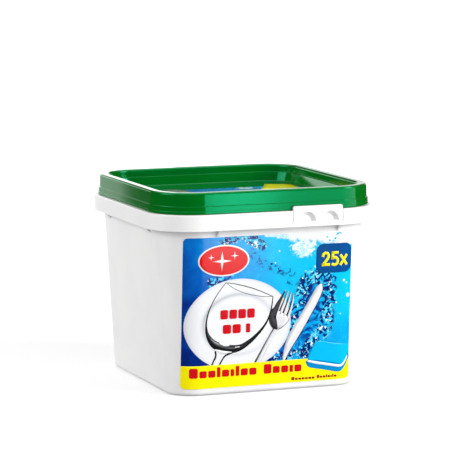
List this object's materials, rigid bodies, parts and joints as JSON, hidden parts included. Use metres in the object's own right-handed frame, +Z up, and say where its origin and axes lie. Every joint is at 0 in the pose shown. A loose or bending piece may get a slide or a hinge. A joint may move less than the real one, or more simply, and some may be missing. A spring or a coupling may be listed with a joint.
{
  "type": "dishwasher tablet tub",
  "caption": "Square moulded tub with a hanging collar, tear-off tamper tab, lift-off lid with a stacking recess, moulded-in labels and pressed dishwasher tablets inside.",
  "frame": {"origin": "middle of the tub's footprint, on the surface it stands on", "axes": "+Z up; -Y the front, which carries the label and the tamper tab; +X to the right of someone facing the front"},
  "size_m": [0.13, 0.1366, 0.1109],
  "materials": {
    "white_plastic": "satin",
    "green_plastic": "gloss",
    "front_print": "gloss",
    "lid_print": "gloss",
    "pressed_tablet": "matte"
  },
  "bodies": {
    "tub": {"tub": "white_plastic", "front_label": "front_print", "tablet_01": "pressed_tablet", "tablet_02": "pressed_tablet", "tablet_03": "pressed_tablet", "tablet_04": "pressed_tablet", "tablet_05": "pressed_tablet", "tablet_06": "pressed_tablet", "tablet_07": "pressed_tablet", "tablet_08": "pressed_tablet", "tablet_09": "pressed_tablet", "tablet_10": "pressed_tablet", "tablet_11": "pressed_tablet", "tablet_12": "pressed_tablet", "tablet_13": "pressed_tablet", "tablet_14": "pressed_tablet", "tablet_15": "pressed_tablet", "tablet_16": "pressed_tablet", "tablet_17": "pressed_tablet", "tablet_18": "pressed_tablet", "tablet_19": "pressed_tablet", "tablet_20": "pressed_tablet", "tablet_21": "pressed_tablet", "tablet_22": "pressed_tablet", "tablet_23": "pressed_tablet", "tablet_24": "pressed_tablet", "tablet_25": "pressed_tablet"},
    "lid": {"lid": "green_plastic", "lid_label": "lid_print"}
  },
  "joints": [
    {"name": "lid_lift", "type": "slide", "parent": "tub", "child": "lid", "axis": [0, 0, 1], "range_m": [0, 0.06]}
  ]
}
